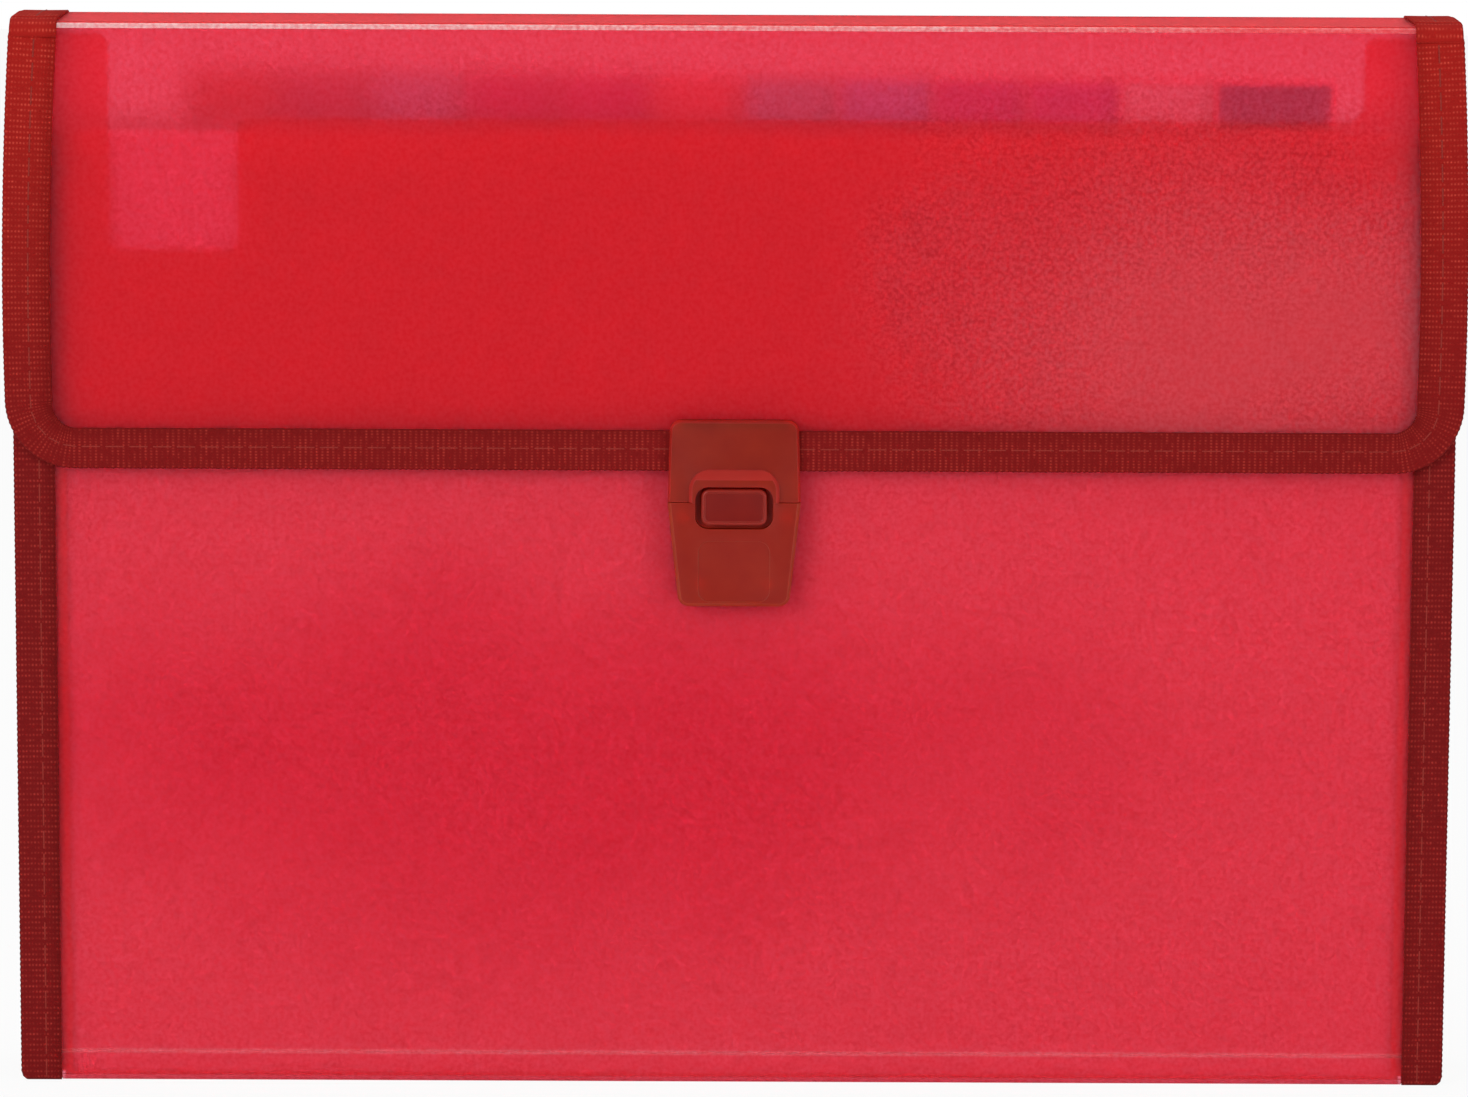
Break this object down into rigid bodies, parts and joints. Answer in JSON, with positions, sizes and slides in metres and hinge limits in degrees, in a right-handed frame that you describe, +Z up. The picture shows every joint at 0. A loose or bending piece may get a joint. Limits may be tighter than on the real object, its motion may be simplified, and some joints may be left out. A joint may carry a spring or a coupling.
{
  "type": "expanding document file",
  "caption": "Expanding file for landscape paper: see-through red sheets, woven edge binding, a creased lid, tabbed pockets between side pleats and a push-button clasp.",
  "frame": {"origin": "middle of the footprint, on the surface the file stands on", "axes": "+X to the right seen from the front, +Y to the back, +Z up; the flap and clasp face -Y"},
  "size_m": [0.3304, 0.0352, 0.2446],
  "materials": {
    "cover_sheet": "frosted see-through polypropylene sheet",
    "divider_film": "thin see-through polypropylene film",
    "pocket_film": "thin pleated polypropylene film",
    "woven_tape": "ribbed woven binding tape",
    "clasp_plastic": "moulded translucent plastic",
    "spring_steel": "sprung strip",
    "label_maroon": "printed card insert",
    "label_grey": "printed card insert",
    "label_violet": "printed card insert",
    "label_crimson": "printed card insert",
    "label_rose": "printed card insert",
    "label_slate": "printed card insert",
    "label_cream": "printed card insert",
    "label_plum": "printed card insert"
  },
  "bodies": {
    "carcass": {"back_panel": "cover_sheet", "base_panel": "cover_sheet", "pocket_floor": "pocket_film", "back_tape_left": "woven_tape", "back_tape_right": "woven_tape"},
    "lid_strip": {"top_strip": "cover_sheet", "strip_tapes": "woven_tape", "rear_crease_film": "cover_sheet", "rear_corner_tapes": "woven_tape"},
    "flap": {"flap_sheet": "cover_sheet", "flap_tape": "woven_tape", "hasp_plate": "clasp_plastic", "hasp_backing": "clasp_plastic", "front_crease_film": "cover_sheet", "front_corner_tapes": "woven_tape"},
    "front": {"front_panel": "cover_sheet", "front_tape_left": "woven_tape", "front_tape_right": "woven_tape", "catch_body": "clasp_plastic", "catch_backing": "clasp_plastic", "bottom_crease_film": "cover_sheet", "button_spring": "spring_steel", "side_pleats_13": "pocket_film"},
    "button": {"push_button": "clasp_plastic"},
    "pocket_01": {"divider_01": "divider_film", "tab_label_01": "label_maroon", "side_pleats_01": "pocket_film"},
    "pocket_02": {"divider_02": "divider_film", "tab_label_02": "label_grey", "side_pleats_02": "pocket_film"},
    "pocket_03": {"divider_03": "divider_film", "tab_label_03": "label_violet", "side_pleats_03": "pocket_film"},
    "pocket_04": {"divider_04": "divider_film", "tab_label_04": "label_crimson", "side_pleats_04": "pocket_film"},
    "pocket_05": {"divider_05": "divider_film", "tab_label_05": "label_rose", "side_pleats_05": "pocket_film"},
    "pocket_06": {"divider_06": "divider_film", "tab_label_06": "label_slate", "side_pleats_06": "pocket_film"},
    "pocket_07": {"divider_07": "divider_film", "tab_label_07": "label_violet", "side_pleats_07": "pocket_film"},
    "pocket_08": {"divider_08": "divider_film", "tab_label_08": "label_crimson", "side_pleats_08": "pocket_film"},
    "pocket_09": {"divider_09": "divider_film", "tab_label_09": "label_rose", "side_pleats_09": "pocket_film"},
    "pocket_10": {"divider_10": "divider_film", "tab_label_10": "label_maroon", "side_pleats_10": "pocket_film"},
    "pocket_11": {"divider_11": "divider_film", "tab_label_11": "label_cream", "side_pleats_11": "pocket_film"},
    "pocket_12": {"divider_12": "divider_film", "tab_label_12": "label_plum", "side_pleats_12": "pocket_film"}
  },
  "joints": [
    {"name": "lid_hinge", "type": "hinge", "parent": "carcass", "child": "lid_strip", "pos_m": [0, 0.01757, 0.24462], "axis": [-1, 0, 0], "range_deg": [0, 265], "deforming": ["rear_crease_film", "rear_corner_tapes"]},
    {"name": "flap_hinge", "type": "hinge", "parent": "lid_strip", "child": "flap", "pos_m": [0, -0.01274, 0.24369], "axis": [-1, 0, 0], "range_deg": [0, 90], "deforming": ["front_crease_film", "front_corner_tapes"]},
    {"name": "button_press", "type": "slide", "parent": "front", "child": "button", "axis": [0, 1, 0], "range_m": [0, 0.0016], "stiffness_N_per_m": 800, "springref_m": -0.0006, "deforming": ["button_spring"]},
    {"name": "fan_01", "type": "hinge", "parent": "carcass", "child": "pocket_01", "pos_m": [0, 0.01445, 0.00132], "axis": [1, 0, 0], "range_deg": [0, 0.85], "deforming": ["side_pleats_01"]},
    {"name": "fan_02", "type": "hinge", "parent": "carcass", "child": "pocket_02", "pos_m": [0, 0.01245, 0.00132], "axis": [1, 0, 0], "range_deg": [0, 1.7], "deforming": ["side_pleats_02"]},
    {"name": "fan_03", "type": "hinge", "parent": "carcass", "child": "pocket_03", "pos_m": [0, 0.01045, 0.00132], "axis": [1, 0, 0], "range_deg": [0, 2.55], "deforming": ["side_pleats_03"]},
    {"name": "fan_04", "type": "hinge", "parent": "carcass", "child": "pocket_04", "pos_m": [0, 0.00845, 0.00132], "axis": [1, 0, 0], "range_deg": [0, 3.4], "deforming": ["side_pleats_04"]},
    {"name": "fan_05", "type": "hinge", "parent": "carcass", "child": "pocket_05", "pos_m": [0, 0.00645, 0.00132], "axis": [1, 0, 0], "range_deg": [0, 4.25], "deforming": ["side_pleats_05"]},
    {"name": "fan_06", "type": "hinge", "parent": "carcass", "child": "pocket_06", "pos_m": [0, 0.00445, 0.00132], "axis": [1, 0, 0], "range_deg": [0, 5.1], "deforming": ["side_pleats_06"]},
    {"name": "fan_07", "type": "hinge", "parent": "carcass", "child": "pocket_07", "pos_m": [0, 0.00245, 0.00132], "axis": [1, 0, 0], "range_deg": [0, 5.95], "deforming": ["side_pleats_07"]},
    {"name": "fan_08", "type": "hinge", "parent": "carcass", "child": "pocket_08", "pos_m": [0, 0.00045, 0.00132], "axis": [1, 0, 0], "range_deg": [0, 6.8], "deforming": ["side_pleats_08"]},
    {"name": "fan_09", "type": "hinge", "parent": "carcass", "child": "pocket_09", "pos_m": [0, -0.00155, 0.00132], "axis": [1, 0, 0], "range_deg": [0, 7.65], "deforming": ["side_pleats_09"]},
    {"name": "fan_10", "type": "hinge", "parent": "carcass", "child": "pocket_10", "pos_m": [0, -0.00355, 0.00132], "axis": [1, 0, 0], "range_deg": [0, 8.5], "deforming": ["side_pleats_10"]},
    {"name": "fan_11", "type": "hinge", "parent": "carcass", "child": "pocket_11", "pos_m": [0, -0.00555, 0.00132], "axis": [1, 0, 0], "range_deg": [0, 9.35], "deforming": ["side_pleats_11"]},
    {"name": "fan_12", "type": "hinge", "parent": "carcass", "child": "pocket_12", "pos_m": [0, -0.00755, 0.00132], "axis": [1, 0, 0], "range_deg": [0, 10.2], "deforming": ["side_pleats_12"]},
    {"name": "fan_front", "type": "hinge", "parent": "carcass", "child": "front", "pos_m": [0, -0.00974, 0.00041], "axis": [1, 0, 0], "range_deg": [0, 11.05], "deforming": ["bottom_crease_film", "side_pleats_13"]}
  ],
  "couplings": [
    {"joint": "fan_01", "follows": "lid_hinge", "ratio": 0.0032075},
    {"joint": "fan_02", "follows": "lid_hinge", "ratio": 0.006415},
    {"joint": "fan_03", "follows": "lid_hinge", "ratio": 0.0096226},
    {"joint": "fan_04", "follows": "lid_hinge", "ratio": 0.01283},
    {"joint": "fan_05", "follows": "lid_hinge", "ratio": 0.016038},
    {"joint": "fan_06", "follows": "lid_hinge", "ratio": 0.019245},
    {"joint": "fan_07", "follows": "lid_hinge", "ratio": 0.022453},
    {"joint": "fan_08", "follows": "lid_hinge", "ratio": 0.02566},
    {"joint": "fan_09", "follows": "lid_hinge", "ratio": 0.028868},
    {"joint": "fan_10", "follows": "lid_hinge", "ratio": 0.032075},
    {"joint": "fan_11", "follows": "lid_hinge", "ratio": 0.035283},
    {"joint": "fan_12", "follows": "lid_hinge", "ratio": 0.03849},
    {"joint": "fan_front", "follows": "lid_hinge", "ratio": 0.041698}
  ]
}
